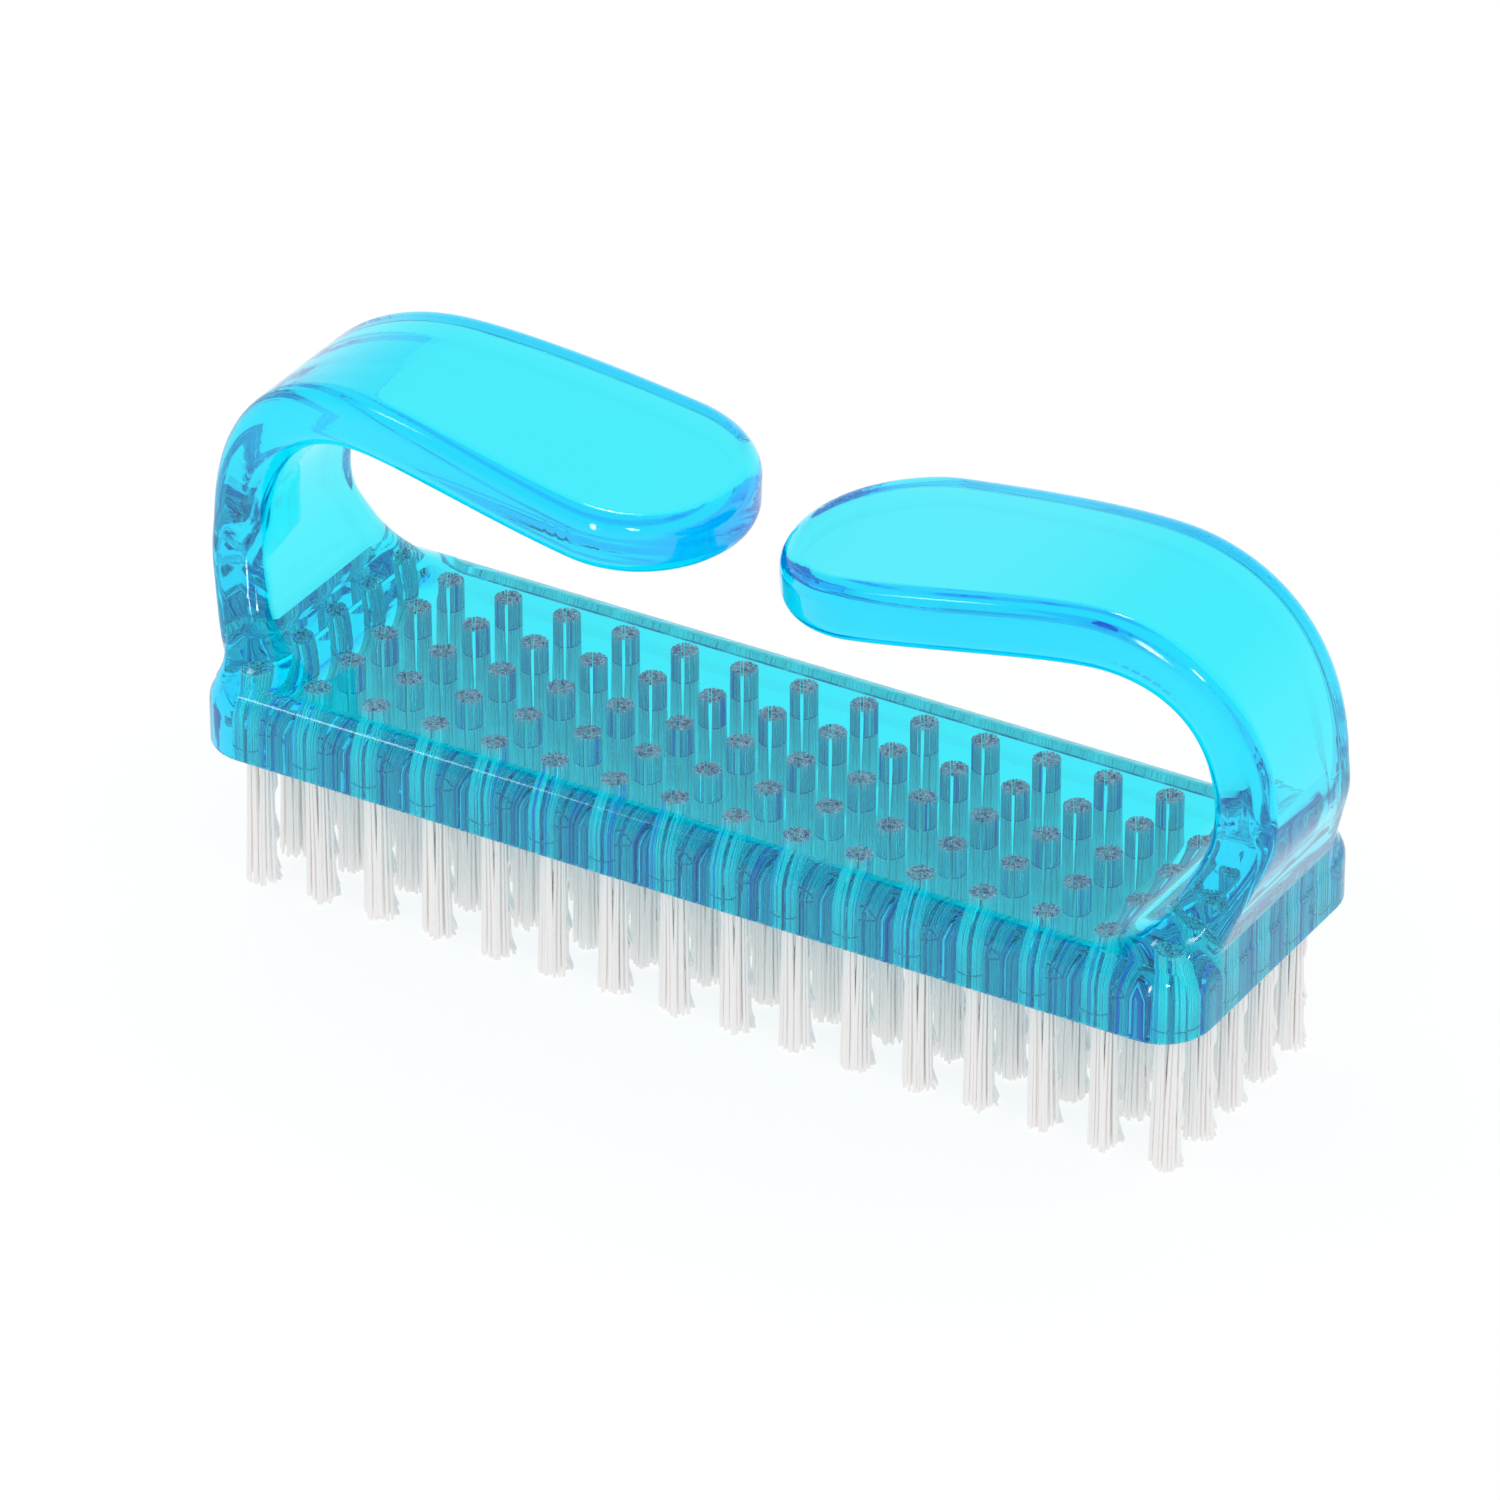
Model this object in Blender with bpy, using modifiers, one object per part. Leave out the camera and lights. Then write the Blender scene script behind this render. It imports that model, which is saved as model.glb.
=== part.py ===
"""Nail dust brush: one clear moulding, a base with two curled arms, and 80 tufts of bristle.

Metres, +Z up. X runs along the base and the arms rise from its two ends. The bristle tips
stand on z = 0, and the origin is under the middle of the base. Row 1 is the front row, at -Y,
and column 1 is at -X.
"""

import math

import bmesh
import bpy
from mathutils import Vector
from mathutils.geometry import interpolate_bezier

# Base: a flat block with rounded corners
BASE_LENGTH = 0.0914
BASE_WIDTH = 0.0296
BASE_HEIGHT = 0.00635
BASE_CORNER_RADIUS = 0.0044
TOP_EDGE_RADIUS = 0.0024
LOWER_EDGE_RADIUS = 0.0005

# Tufts: a grid of round bundles in blind holes that open at the underside. Inside the grid's
# outline two neighbours of a row share a thin slice of backing, in a slot between their holes
TUFT_COLUMNS = 16
TUFT_ROWS = 5
TUFTS_PER_NODE = 2
END_MARGIN = 0.0038
SIDE_MARGIN = 0.00475
HOLE_DIAMETER = 0.0027
HOLE_COVER = 0.0009
BRISTLE_LENGTH = 0.01345
ROOT_CLEARANCE = 0.0003
TIP_SPREAD = 0.00035
TIP_STAGGER = 0.0005
STRANDS_PER_TUFT = 6
STRAND_GAP = 0.00016
SLICE_THICKNESS = 0.0008

# Arms: a strap that leans out, curls over and ends in a wide flat paddle
ARM_THICKNESS = 0.00532
ARM_EDGE_RADIUS = 0.00184
ARM_RISE = 0.0264
FOOT_SETBACK = 0.0001
FOOT_FILLET = 0.0049
FOOT_DEPTH = 0.0030
BULGE_OVERHANG = 0.0028
PADDLE_DROP = 0.0037
TIP_GAP = 0.0052
NECK_WIDTH = 0.0212
WAIST_WIDTH = 0.0147
PADDLE_WIDTH = 0.0213
PADDLE_END_LENGTH = 0.0099

# Every cutter runs past the underside by this much
CUT_OVERRUN = 0.0010

# Heights and reaches that follow from the sizes above
BASE_TOP = BRISTLE_LENGTH + BASE_HEIGHT
ROOT_TOP = BASE_TOP - HOLE_COVER - ROOT_CLEARANCE
ROOT_RADIUS = HOLE_DIAMETER / 2 - ROOT_CLEARANCE
COLUMN_PITCH = (BASE_LENGTH - 2 * END_MARGIN) / (TUFT_COLUMNS - 1)
ROW_PITCH = (BASE_WIDTH - 2 * SIDE_MARGIN) / (TUFT_ROWS - 1)
CREST = ARM_RISE - ARM_THICKNESS / 2
FOOT_X = BASE_LENGTH / 2 - FOOT_SETBACK - ARM_THICKNESS / 2
BULGE_X = BASE_LENGTH / 2 + BULGE_OVERHANG - ARM_THICKNESS / 2
TIP_X = TIP_GAP / 2
REACH = BULGE_X - TIP_X

# Places along the arm's centreline, as shares of its reach, its rise or its length
BULGE_HEIGHT_SHARE = 0.413
CREST_PLACE_SHARE = 0.706
FOOT_HANDLE_SHARES = (0.734, 0.285)
BULGE_HANDLE_SHARES = (0.128, 0.457)
CREST_HANDLE_SHARES = (0.130, 0.173)
TIP_HANDLE_SHARES = (0.118, 0.142)
WAIST_PLACE_SHARE = 0.190
PADDLE_PLACE_SHARE = 0.857

# A ring's corner radius stays within these shares of its thickness and of half its width
CORNER_THICKNESS_SHARE = 0.499
CORNER_WIDTH_SHARE = 0.999

# Colours and finish
CLEAR_BLUE = (0.10, 0.72, 0.92, 0.55)
CLEAR_BLUE_ROUGHNESS = 0.06
BRISTLE_WHITE = (0.86, 0.87, 0.88, 1.0)
BRISTLE_ROUGHNESS = 0.45

# Fineness of the faceted model
CORNER_SEGMENTS = 6
EDGE_SEGMENTS = 4
HOLE_SIDES = 10
RING_CORNER_SEGMENTS = 3
PATH_POINTS = (10, 12, 10)
TIP_RINGS = 8
SHARP_ANGLE = math.radians(35)


def clear_scene():
    """Remove every object that the file holds."""
    for item in list(bpy.data.objects):
        bpy.data.objects.remove(item, do_unlink=True)


def make_collection(name):
    """Return a new collection linked to the scene."""
    collection = bpy.data.collections.new(name)
    bpy.context.scene.collection.children.link(collection)
    return collection


def make_material(name, colour, roughness):
    """Return a plain Principled material."""
    material = bpy.data.materials.new(name)
    material.use_nodes = True
    shader = material.node_tree.nodes["Principled BSDF"]
    shader.inputs["Base Color"].default_value = colour
    shader.inputs["Roughness"].default_value = roughness
    shader.inputs["Metallic"].default_value = 0.0
    shader.inputs["Alpha"].default_value = colour[3]
    return material


def add_object(name, bm, collection):
    """Turn a bmesh into a named object with outward faces."""
    bmesh.ops.recalc_face_normals(bm, faces=bm.faces)
    mesh = bpy.data.meshes.new(name)
    bm.to_mesh(mesh)
    bm.free()
    item = bpy.data.objects.new(name, mesh)
    collection.objects.link(item)
    return item


def mark_as_cutter(item):
    """Show an object as wire only, because it shapes another and isn't a piece."""
    item.hide_render = True
    item.display_type = "WIRE"


def add_boolean(item, other, operation):
    """Join another solid to a solid, or cut it away."""
    modifier = item.modifiers.new(other.name, "BOOLEAN")
    modifier.object = other
    modifier.operation = operation
    modifier.solver = "EXACT"


def smooth_step(share):
    """Ease from 0 to 1 with level ends."""
    share = min(max(share, 0.0), 1.0)
    return share * share * (3 - 2 * share)


def fillet_flare(height, room):
    """Return how far the foot's fillet stands out at a height above the base. It runs out on
    the top face or, where there is no room for that, on the rounding of the top edge."""
    both = FOOT_FILLET + TOP_EDGE_RADIUS
    past = both - min(room, both)
    top = math.sqrt(both ** 2 - past ** 2) - TOP_EDGE_RADIUS
    touch = TOP_EDGE_RADIUS * (top + TOP_EDGE_RADIUS) / both - TOP_EDGE_RADIUS
    drop = min(top - min(max(height, touch), top), FOOT_FILLET)
    return FOOT_FILLET - math.sqrt(FOOT_FILLET ** 2 - drop ** 2)


def bevel(bm, edges, radius, segments):
    """Round some edges of a bmesh."""
    bmesh.ops.bevel(bm, geom=edges, offset=radius, segments=segments, profile=0.5,
                    affect="EDGES", clamp_overlap=True)


def base_block(collection):
    """Make the base as a box with rounded corners and edges."""
    bm = bmesh.new()
    bmesh.ops.create_cube(bm, size=1.0)
    bmesh.ops.scale(bm, vec=(BASE_LENGTH, BASE_WIDTH, BASE_HEIGHT), verts=bm.verts)
    bmesh.ops.translate(bm, vec=(0, 0, BRISTLE_LENGTH + BASE_HEIGHT / 2), verts=bm.verts)
    upright = [e for e in bm.edges if (e.verts[0].co - e.verts[1].co).normalized().z ** 2 > 0.5]
    bevel(bm, upright, BASE_CORNER_RADIUS, CORNER_SEGMENTS)
    for side, radius in ((1, TOP_EDGE_RADIUS), (-1, LOWER_EDGE_RADIUS)):
        bm.normal_update()
        face = max(bm.faces, key=lambda f: side * f.normal.z)
        bevel(bm, list(face.edges), radius, EDGE_SEGMENTS)
    return add_object("brush_body", bm, collection)


def arm_path():
    """Return the arm's centreline as (x, z) points, foot first, and the bulge's index."""
    bulge_z = BASE_TOP + BULGE_HEIGHT_SHARE * CREST
    crest_x = TIP_X + CREST_PLACE_SHARE * REACH
    crest_z = BASE_TOP + CREST
    tip_z = crest_z - PADDLE_DROP
    lean = BULGE_X - FOOT_X
    foot = Vector((FOOT_X, BASE_TOP))
    bulge = Vector((BULGE_X, bulge_z))
    crest = Vector((crest_x, crest_z))
    tip = Vector((TIP_X, tip_z))
    foot_handle = foot + Vector((FOOT_HANDLE_SHARES[0] * lean, FOOT_HANDLE_SHARES[1] * CREST))
    bulge_in = bulge - Vector((0, BULGE_HANDLE_SHARES[0] * CREST))
    bulge_out = bulge + Vector((0, BULGE_HANDLE_SHARES[1] * CREST))
    crest_in = crest + Vector((CREST_HANDLE_SHARES[0] * REACH, 0))
    crest_out = crest - Vector((CREST_HANDLE_SHARES[1] * REACH, 0))
    tip_handle = tip + Vector((TIP_HANDLE_SHARES[0] * REACH, -TIP_HANDLE_SHARES[1] * PADDLE_DROP))
    lower = interpolate_bezier(foot, foot_handle, bulge_in, bulge, PATH_POINTS[0])
    bend = interpolate_bezier(bulge, bulge_out, crest_in, crest, PATH_POINTS[1])
    upper = interpolate_bezier(crest, crest_out, tip_handle, tip, PATH_POINTS[2])
    return lower + bend[1:] + upper[1:], len(lower) - 1


def arm_width(share):
    """Return the strap's width at a share of its length."""
    if share < WAIST_PLACE_SHARE:
        return NECK_WIDTH + (WAIST_WIDTH - NECK_WIDTH) * smooth_step(share / WAIST_PLACE_SHARE)
    run = PADDLE_PLACE_SHARE - WAIST_PLACE_SHARE
    return WAIST_WIDTH + (PADDLE_WIDTH - WAIST_WIDTH) * smooth_step((share - WAIST_PLACE_SHARE) / run)


def ring_outline(outer, inner, half_width, radius):
    """Return a rounded rectangle as (offset from the centreline, y) pairs."""
    thickness_limit = (outer + inner) * CORNER_THICKNESS_SHARE
    radius = min(radius, thickness_limit, half_width * CORNER_WIDTH_SHARE)
    corners = ((1, 1, 0), (-1, 1, 1), (-1, -1, 2), (1, -1, 3))
    points = []
    for offset_side, y_side, quarter in corners:
        centre = outer - radius if offset_side > 0 else radius - inner
        for step in range(RING_CORNER_SEGMENTS + 1):
            angle = math.pi / 2 * (quarter + step / RING_CORNER_SEGMENTS)
            across = centre + radius * math.cos(angle)
            points.append((across, y_side * (half_width - radius) + radius * math.sin(angle)))
    return points


def arm_stations():
    """Return (centre, normal, length from the foot) along the arm, and its whole length."""
    path, bulge_index = arm_path()
    lengths = [0.0]
    for before, after in zip(path, path[1:]):
        lengths.append(lengths[-1] + (after - before).length)
    whole = lengths[-1]
    stations = []
    for index, centre in enumerate(path):
        if index <= bulge_index:
            normal = Vector((1, 0))
        else:
            ahead = path[min(index + 1, len(path) - 1)] - path[index - 1]
            normal = Vector((ahead.y, -ahead.x)).normalized()
        stations.append((centre, normal, lengths[index]))
    rounded_from = whole - PADDLE_END_LENGTH
    spaced = [station for station in stations if station[2] < rounded_from]
    for ring in range(TIP_RINGS + 1):
        turn = math.pi / 2 * ring / TIP_RINGS
        length = rounded_from + PADDLE_END_LENGTH * math.sin(turn)
        spaced.append(station_at(stations, length))
    return spaced, whole


def station_at(stations, length):
    """Return the station at a length from the foot, between its two neighbours."""
    for before, after in zip(stations, stations[1:]):
        if length <= after[2]:
            break
    share = min((length - before[2]) / (after[2] - before[2]), 1.0)
    return before[0].lerp(after[0], share), before[1].lerp(after[1], share).normalized(), length


def arm_solid(collection):
    """Loft the right-hand arm through its rings and mirror it to the left."""
    stations, whole = arm_stations()
    rings = []
    sunk = stations[0][0] - Vector((0, FOOT_DEPTH))
    for centre, normal, length in [(sunk, stations[0][1], 0.0)] + stations:
        height = centre.y - BASE_TOP
        inner_flare = fillet_flare(height, BASE_LENGTH)
        side_flare = fillet_flare(height, (BASE_WIDTH - NECK_WIDTH) / 2)
        end_left = whole - length
        half_width = arm_width(length / whole) / 2
        if end_left < PADDLE_END_LENGTH:
            inset = 1 - end_left / PADDLE_END_LENGTH
            half_width *= math.sqrt(max(1 - inset ** 2, 0.0))
        half_thickness = ARM_THICKNESS / 2
        if end_left < ARM_EDGE_RADIUS:
            inset = ARM_EDGE_RADIUS - end_left
            half_thickness -= ARM_EDGE_RADIUS - math.sqrt(ARM_EDGE_RADIUS ** 2 - inset ** 2)
        half_width = max(half_width, half_thickness)
        outline = ring_outline(half_thickness, half_thickness + inner_flare,
                               half_width + side_flare, ARM_EDGE_RADIUS + side_flare)
        rings.append([(centre.x + normal.x * across, y, centre.y + normal.y * across)
                      for across, y in outline])
    bm = bmesh.new()
    loops = [[bm.verts.new(point) for point in ring] for ring in rings]
    for lower, upper in zip(loops, loops[1:]):
        for index in range(len(lower)):
            following = (index + 1) % len(lower)
            bm.faces.new((lower[index], lower[following], upper[following], upper[index]))
    bm.faces.new(reversed(loops[0]))
    bm.faces.new(loops[-1])
    arm = add_object("arms", bm, collection)
    mirror = arm.modifiers.new("left arm", "MIRROR")
    mirror.use_axis = (True, False, False)
    mirror.use_mirror_merge = False
    mark_as_cutter(arm)
    return arm


def tuft_places():
    """Return each tuft's (row, column, x, y), counted from 1 at the front left."""
    places = []
    for row in range(1, TUFT_ROWS + 1):
        for column in range(1, TUFT_COLUMNS + 1):
            x = (column - (TUFT_COLUMNS + 1) / 2) * COLUMN_PITCH
            y = (row - (TUFT_ROWS + 1) / 2) * ROW_PITCH
            places.append((row, column, x, y))
    return places


def tuft_groups():
    """Return each node's tufts: one on the grid's outline, neighbours of a row inside it."""
    groups = []
    for row in range(1, TUFT_ROWS + 1):
        tufts = [place for place in tuft_places() if place[0] == row]
        if row in (1, TUFT_ROWS):
            groups += [[tuft] for tuft in tufts]
            continue
        inner = tufts[1:-1]
        groups.append(tufts[:1])
        groups += [inner[i:i + TUFTS_PER_NODE] for i in range(0, len(inner), TUFTS_PER_NODE)]
        groups.append(tufts[-1:])
    return groups


def hole_cutter(collection):
    """Make the cylinders of all the blind holes as one cutter."""
    bm = bmesh.new()
    bottom = BRISTLE_LENGTH - CUT_OVERRUN
    top = BASE_TOP - HOLE_COVER
    for _, _, x, y in tuft_places():
        made = bmesh.ops.create_cone(bm, cap_ends=True, segments=HOLE_SIDES,
                                     radius1=HOLE_DIAMETER / 2, radius2=HOLE_DIAMETER / 2,
                                     depth=top - bottom)
        bmesh.ops.translate(bm, vec=(x, y, (top + bottom) / 2), verts=made["verts"])
    cutter = add_object("tuft_holes", bm, collection)
    mark_as_cutter(cutter)
    return cutter


def slot_cutter(collection):
    """Make the slots between the holes of each group, for the slices of backing."""
    bm = bmesh.new()
    width = ROOT_RADIUS + 2 * ROOT_CLEARANCE
    bottom = BRISTLE_LENGTH - CUT_OVERRUN
    top = BRISTLE_LENGTH + SLICE_THICKNESS + ROOT_CLEARANCE
    for group in tuft_groups():
        if len(group) == 1:
            continue
        (_, _, first_x, y), (_, _, last_x, _) = group[0], group[-1]
        made = bmesh.ops.create_cube(bm, size=1.0)
        bmesh.ops.scale(bm, vec=(last_x - first_x, width, top - bottom), verts=made["verts"])
        centre = ((first_x + last_x) / 2, y, (top + bottom) / 2)
        bmesh.ops.translate(bm, vec=centre, verts=made["verts"])
    cutter = add_object("slice_slots", bm, collection)
    mark_as_cutter(cutter)
    return cutter


def add_root(bm, x, y):
    """Add a tuft's root as a prism in its hole, and return its lower faces, bottom face last."""
    slice_top = BRISTLE_LENGTH + SLICE_THICKNESS
    made = bmesh.ops.create_cone(bm, cap_ends=True, segments=STRANDS_PER_TUFT,
                                 radius1=ROOT_RADIUS, radius2=ROOT_RADIUS,
                                 depth=ROOT_TOP - slice_top)
    bmesh.ops.translate(bm, vec=(x, y, (ROOT_TOP + slice_top) / 2), verts=made["verts"])
    bm.normal_update()
    faces = {face for vert in made["verts"] for face in vert.link_faces}
    bottom = min(faces, key=lambda face: face.normal.z)
    grown = bmesh.ops.extrude_face_region(bm, geom=[bottom])["geom"]
    bmesh.ops.delete(bm, geom=[bottom], context="FACES_ONLY")
    verts = [item for item in grown if isinstance(item, bmesh.types.BMVert)]
    bmesh.ops.translate(bm, vec=(0, 0, -SLICE_THICKNESS), verts=verts)
    bm.normal_update()
    bottom = next(item for item in grown if isinstance(item, bmesh.types.BMFace))
    sides = [face for edge in bottom.edges for face in edge.link_faces if face is not bottom]
    return sides + [bottom]


def add_slice(bm, left_sides, right_sides):
    """Join two roots by the slice of backing between the sides that face each other."""
    left = max(left_sides, key=lambda face: face.normal.x)
    right = min(right_sides, key=lambda face: face.normal.x)
    edges = list(left.edges) + list(right.edges)
    bmesh.ops.delete(bm, geom=[left, right], context="FACES_ONLY")
    bmesh.ops.bridge_loops(bm, edges=edges)


def add_strands(bm, bottom, x, y):
    """Grow a root's strands from its bottom face, one from each sector, ends on z = 0."""
    sectors = bmesh.ops.poke(bm, faces=[bottom])["faces"]
    sectors.sort(key=lambda face: sector_angle(face, x, y))
    bmesh.ops.inset_individual(bm, faces=sectors, thickness=STRAND_GAP / 2, use_even_offset=True)
    grown = bmesh.ops.extrude_discrete_faces(bm, faces=sectors)["faces"]
    spread = 1 + TIP_SPREAD / ROOT_RADIUS
    for number, face in enumerate(grown):
        end = TIP_STAGGER * (number % 2)
        for vert in face.verts:
            vert.co = (x + (vert.co.x - x) * spread, y + (vert.co.y - y) * spread, end)


def sector_angle(face, x, y):
    """Return the direction of a face's centre from a tuft's axis, counted from half a sector."""
    centre = face.calc_center_median()
    half_sector = math.pi / STRANDS_PER_TUFT
    return (math.atan2(centre.y - y, centre.x - x) + half_sector) % (2 * math.pi)


def tuft_nodes(collection):
    """Make the tufts, one node for each group of neighbours."""
    for group in tuft_groups():
        bm = bmesh.new()
        roots = [add_root(bm, x, y) for _, _, x, y in group]
        for left, right in zip(roots, roots[1:]):
            add_slice(bm, left[:-1], right[:-1])
        for root, (_, _, x, y) in zip(roots, group):
            add_strands(bm, root[-1], x, y)
        row, first = group[0][:2]
        name = f"tuft_row{row}_{first:02d}"
        if len(group) > 1:
            name = f"tufts_row{row}_{first:02d}_{group[-1][1]:02d}"
        item = add_object(name, bm, collection)
        item.data.materials.append(make_material(name, BRISTLE_WHITE, BRISTLE_ROUGHNESS))


def brush_body(collection, cutters):
    """Join the base and the arms into the one clear moulding, and cut its holes and slots."""
    body = base_block(collection)
    add_boolean(body, arm_solid(cutters), "UNION")
    add_boolean(body, hole_cutter(cutters), "DIFFERENCE")
    add_boolean(body, slot_cutter(cutters), "DIFFERENCE")
    body.data.materials.append(make_material("brush_body", CLEAR_BLUE, CLEAR_BLUE_ROUGHNESS))
    body.data.shade_smooth()
    body.data.set_sharp_from_angle(angle=SHARP_ANGLE)


def main():
    clear_scene()
    pieces = make_collection("nail_dust_brush")
    cutters = make_collection("cutters")
    brush_body(pieces, cutters)
    tuft_nodes(pieces)


main()
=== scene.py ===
import math
import random

import bmesh
import bpy
from mathutils import Matrix, Vector
from mathutils.geometry import interpolate_bezier


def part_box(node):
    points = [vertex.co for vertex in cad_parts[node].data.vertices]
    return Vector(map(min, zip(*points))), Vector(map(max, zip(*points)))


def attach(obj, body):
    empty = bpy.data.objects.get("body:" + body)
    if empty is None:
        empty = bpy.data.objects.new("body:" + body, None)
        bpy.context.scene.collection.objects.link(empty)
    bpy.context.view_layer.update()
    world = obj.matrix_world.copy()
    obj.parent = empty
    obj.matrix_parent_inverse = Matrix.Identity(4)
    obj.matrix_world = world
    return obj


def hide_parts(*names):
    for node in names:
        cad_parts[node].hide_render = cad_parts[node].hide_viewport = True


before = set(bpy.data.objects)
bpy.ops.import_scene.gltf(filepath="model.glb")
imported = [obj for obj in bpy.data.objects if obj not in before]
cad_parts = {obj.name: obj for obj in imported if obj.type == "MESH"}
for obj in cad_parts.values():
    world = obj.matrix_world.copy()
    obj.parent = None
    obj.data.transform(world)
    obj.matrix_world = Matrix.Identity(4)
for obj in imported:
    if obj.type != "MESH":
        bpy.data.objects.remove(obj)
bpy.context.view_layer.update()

# Base of the body: a flat block of clear plastic with rounded corners, a generous rounding
# along its top and a small one along its underside. It is moulded in one piece with the arms.
BASE_LENGTH = 0.0914
BASE_WIDTH = 0.0296
BASE_TOP = 0.0198
BASE_UNDERSIDE = 0.01345
BASE_CORNER_RADIUS = 0.0044
TOP_EDGE_RADIUS = 0.0024
LOWER_EDGE_RADIUS = 0.0005
CORNER_SEGMENTS = 14
TOP_EDGE_SEGMENTS = 10
LOWER_EDGE_SEGMENTS = 4
UPRIGHT = 0.9


def round_edges(bm, edges, radius, segments):
    """Round some edges of a mesh with a bevel."""
    bmesh.ops.bevel(bm, geom=edges, offset=radius, segments=segments, profile=0.5,
                    affect="EDGES", material=-1, clamp_overlap=False)


def mesh_object(name, bm):
    """Turn a bmesh into an object whose faces point outwards."""
    bmesh.ops.recalc_face_normals(bm, faces=bm.faces)
    mesh = bpy.data.meshes.new(name)
    bm.to_mesh(mesh)
    bm.free()
    made = bpy.data.objects.new(name, mesh)
    bpy.context.scene.collection.objects.link(made)
    return made


def base_block():
    """Make the block from a cube: upright corners first, then the two rims."""
    bm = bmesh.new()
    bmesh.ops.create_cube(bm, size=1.0)
    height = BASE_TOP - BASE_UNDERSIDE
    bmesh.ops.scale(bm, vec=(BASE_LENGTH, BASE_WIDTH, height), verts=bm.verts)
    bmesh.ops.translate(bm, vec=(0, 0, BASE_UNDERSIDE + height / 2), verts=bm.verts)
    upright = [e for e in bm.edges
               if abs((e.verts[0].co - e.verts[1].co).normalized().z) > UPRIGHT]
    round_edges(bm, upright, BASE_CORNER_RADIUS, CORNER_SEGMENTS)
    bm.normal_update()
    top = max(bm.faces, key=lambda face: face.normal.z)
    round_edges(bm, list(top.edges), TOP_EDGE_RADIUS, TOP_EDGE_SEGMENTS)
    bm.normal_update()
    underside = min(bm.faces, key=lambda face: face.normal.z)
    round_edges(bm, list(underside.edges), LOWER_EDGE_RADIUS, LOWER_EDGE_SEGMENTS)
    return mesh_object("clear_body", bm)


# Arms of the body: two straps of the same plastic that rise from the ends of the base, curl
# over and run towards each other as wide flat paddles. A strap is made flat with a rounded
# rim, then bent along its centreline, and its foot flares into the base with a soft fillet.
ARM_THICKNESS = 0.00532
ARM_EDGE_RADIUS = 0.00184
ARM_RISE = 0.0264
FOOT_SETBACK = 0.0001
FOOT_FILLET = 0.0049
FOOT_DEPTH = 0.0040
BULGE_OVERHANG = 0.0028
PADDLE_DROP = 0.0037
TIP_GAP = 0.0052
NECK_WIDTH = 0.0212
WAIST_WIDTH = 0.0147
PADDLE_WIDTH = 0.0213
PADDLE_END_LENGTH = 0.0099
CREST = ARM_RISE - ARM_THICKNESS / 2
FOOT_X = BASE_LENGTH / 2 - FOOT_SETBACK - ARM_THICKNESS / 2
BULGE_X = BASE_LENGTH / 2 + BULGE_OVERHANG - ARM_THICKNESS / 2
TIP_X = TIP_GAP / 2
REACH = BULGE_X - TIP_X
BULGE_HEIGHT_SHARE = 0.413
CREST_PLACE_SHARE = 0.706
FOOT_HANDLE_SHARES = (0.734, 0.285)
BULGE_HANDLE_SHARES = (0.128, 0.457)
CREST_HANDLE_SHARES = (0.130, 0.173)
TIP_HANDLE_SHARES = (0.118, 0.142)
WAIST_PLACE_SHARE = 0.190
PADDLE_PLACE_SHARE = 0.857
PATH_FINENESS = 240
RIM_SEGMENTS = 8
SIDE_STEP = 0.0010
END_STEPS = 26
CUT_STEP = 0.0005
CUT_TOLERANCE = 1e-6
FILLET_CUTS = 14
EDGE_CUTS = 7
HALVINGS = 20


def smooth_step(share):
    """Ease from 0 to 1 with level ends."""
    share = min(max(share, 0.0), 1.0)
    return share * share * (3 - 2 * share)


def arm_path():
    """Return the strap's centreline as (x, z) points with their lengths from the foot."""
    foot = Vector((FOOT_X, BASE_TOP))
    bulge = Vector((BULGE_X, BASE_TOP + BULGE_HEIGHT_SHARE * CREST))
    crest = Vector((TIP_X + CREST_PLACE_SHARE * REACH, BASE_TOP + CREST))
    tip = Vector((TIP_X, crest.y - PADDLE_DROP))
    lean = BULGE_X - FOOT_X
    foot_out = foot + Vector((FOOT_HANDLE_SHARES[0] * lean, FOOT_HANDLE_SHARES[1] * CREST))
    bulge_in = bulge - Vector((0, BULGE_HANDLE_SHARES[0] * CREST))
    bulge_out = bulge + Vector((0, BULGE_HANDLE_SHARES[1] * CREST))
    crest_in = crest + Vector((CREST_HANDLE_SHARES[0] * REACH, 0))
    crest_out = crest - Vector((CREST_HANDLE_SHARES[1] * REACH, 0))
    tip_in = tip + Vector((TIP_HANDLE_SHARES[0] * REACH, -TIP_HANDLE_SHARES[1] * PADDLE_DROP))
    points = interpolate_bezier(foot, foot_out, bulge_in, bulge, PATH_FINENESS)
    points += interpolate_bezier(bulge, bulge_out, crest_in, crest, PATH_FINENESS)[1:]
    points += interpolate_bezier(crest, crest_out, tip_in, tip, PATH_FINENESS)[1:]
    lengths = [0.0]
    for before, after in zip(points, points[1:]):
        lengths.append(lengths[-1] + (after - before).length)
    return points, lengths


arm_points, arm_lengths = arm_path()
ARM_LENGTH = arm_lengths[-1]


def arm_place(length):
    """Return the centre and the outward normal of the strap at a length from the foot."""
    if length <= 0:
        return arm_points[0] + Vector((0, length)), Vector((1, 0))
    index = min(sum(1 for mark in arm_lengths if mark < length), len(arm_points) - 1)
    span = arm_lengths[index] - arm_lengths[index - 1]
    share = (length - arm_lengths[index - 1]) / span
    centre = arm_points[index - 1].lerp(arm_points[index], share)
    ahead = arm_points[index] - arm_points[index - 1]
    normal = Vector((ahead.y, -ahead.x)).normalized()
    return centre, Vector((1, 0)) if index < PATH_FINENESS else normal


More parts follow.
